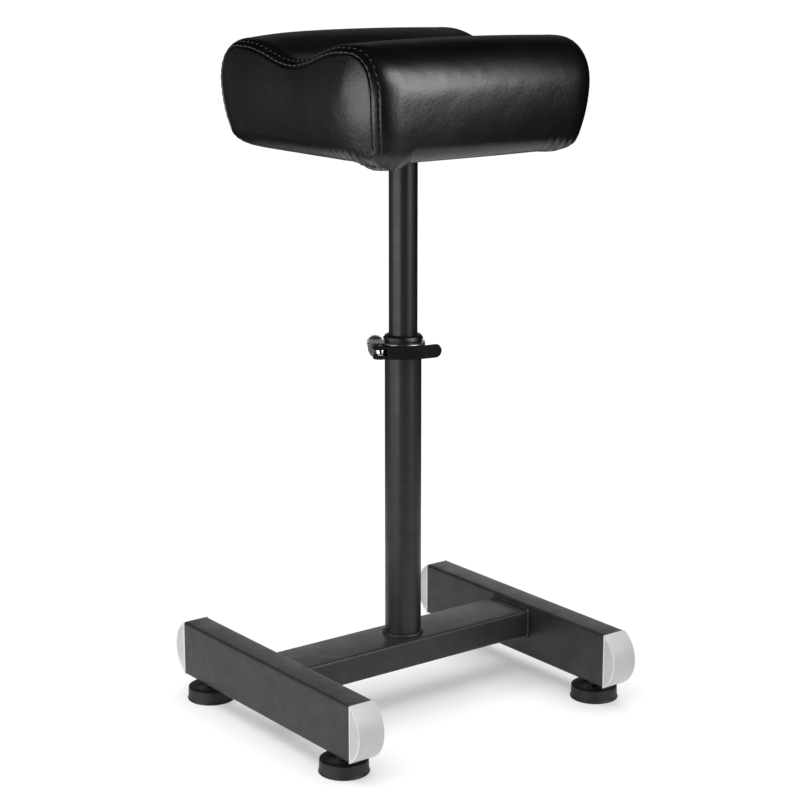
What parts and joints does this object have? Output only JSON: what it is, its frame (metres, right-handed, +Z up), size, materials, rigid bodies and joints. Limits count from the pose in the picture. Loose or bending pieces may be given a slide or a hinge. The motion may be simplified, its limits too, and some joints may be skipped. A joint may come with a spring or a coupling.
{
  "type": "tattoo footrest",
  "caption": "Padded leg rest: a grooved cushion on a post that slides and turns in a clamped column on an H-shaped tube base with levelling feet.",
  "frame": {"origin": "on the floor, under the column's axis", "axes": "+X along the cross tube to the right foot bar, +Y along the foot bars to the back, +Z up along the column"},
  "size_m": [0.3858, 0.3416, 0.7117],
  "materials": {
    "powder_coat": "satin",
    "grey_plastic": "satin",
    "black_rubber": "matte",
    "black_plastic": "satin",
    "bright_metal": "polished",
    "zinc_plate": "satin",
    "black_leather": "satin",
    "cushion_foam": "matte",
    "plywood": "matte",
    "dust_cloth": "matte"
  },
  "bodies": {
    "base": {"left_foot_bar": "powder_coat", "right_foot_bar": "powder_coat", "cross_tube": "powder_coat", "left_cross_weld": "powder_coat", "right_cross_weld": "powder_coat", "column_weld": "powder_coat", "outer_column": "powder_coat", "end_cap_front_left": "grey_plastic", "end_cap_front_right": "grey_plastic", "end_cap_back_left": "grey_plastic", "end_cap_back_right": "grey_plastic", "jam_nut_front_left": "zinc_plate", "jam_nut_front_right": "zinc_plate", "jam_nut_back_left": "zinc_plate", "jam_nut_back_right": "zinc_plate", "weld_nut_front_left": "zinc_plate", "weld_nut_front_right": "zinc_plate", "weld_nut_back_left": "zinc_plate", "weld_nut_back_right": "zinc_plate", "guide_bush": "black_plastic", "clamp_ring": "bright_metal", "skewer": "zinc_plate", "cam_pin": "zinc_plate", "cam_seat": "black_plastic", "nut_washer": "zinc_plate"},
    "post_guide": {"lower_guide": "black_plastic"},
    "cushion_top": {"inner_post": "powder_coat", "mounting_plate": "powder_coat", "plate_weld": "powder_coat", "plate_screw_front_left": "zinc_plate", "plate_screw_front_right": "zinc_plate", "plate_screw_back_left": "zinc_plate", "plate_screw_back_right": "zinc_plate", "tee_nut_front_left": "zinc_plate", "tee_nut_front_right": "zinc_plate", "tee_nut_back_left": "zinc_plate", "tee_nut_back_right": "zinc_plate", "base_board": "plywood", "foam_block": "cushion_foam", "cushion_cover": "black_leather", "dust_cover": "dust_cloth"},
    "clamp_lever": {"lever": "black_plastic"},
    "clamp_nut": {"tension_nut": "zinc_plate"},
    "foot_front_left": {"foot_pad_front_left": "black_rubber", "foot_stud_front_left": "zinc_plate"},
    "foot_front_right": {"foot_pad_front_right": "black_rubber", "foot_stud_front_right": "zinc_plate"},
    "foot_back_left": {"foot_pad_back_left": "black_rubber", "foot_stud_back_left": "zinc_plate"},
    "foot_back_right": {"foot_pad_back_right": "black_rubber", "foot_stud_back_right": "zinc_plate"}
  },
  "joints": [
    {"name": "post_slide", "type": "slide", "parent": "base", "child": "post_guide", "axis": [0, 0, 1], "range_m": [-0.15, 0.09]},
    {"name": "post_swivel", "type": "hinge", "parent": "post_guide", "child": "cushion_top", "pos_m": [0, 0, 0.2451], "axis": [0, 0, 1], "continuous": true},
    {"name": "lever_swing", "type": "hinge", "parent": "base", "child": "clamp_lever", "pos_m": [-0.03325, -0.00459, 0.3875], "axis": [0, 0, -1], "range_deg": [0, 165]},
    {"name": "tension_nut_turn", "type": "hinge", "parent": "base", "child": "clamp_nut", "pos_m": [-0.02295, 0.01325, 0.3875], "axis": [-0.5, -0.866, 0], "continuous": true},
    {"name": "foot_front_left_screw", "type": "slide", "parent": "base", "child": "foot_front_left", "axis": [0, 0, -1], "range_m": [0, 0.01]},
    {"name": "foot_front_right_screw", "type": "slide", "parent": "base", "child": "foot_front_right", "axis": [0, 0, -1], "range_m": [0, 0.01]},
    {"name": "foot_back_left_screw", "type": "slide", "parent": "base", "child": "foot_back_left", "axis": [0, 0, -1], "range_m": [0, 0.01]},
    {"name": "foot_back_right_screw", "type": "slide", "parent": "base", "child": "foot_back_right", "axis": [0, 0, -1], "range_m": [0, 0.01]}
  ]
}
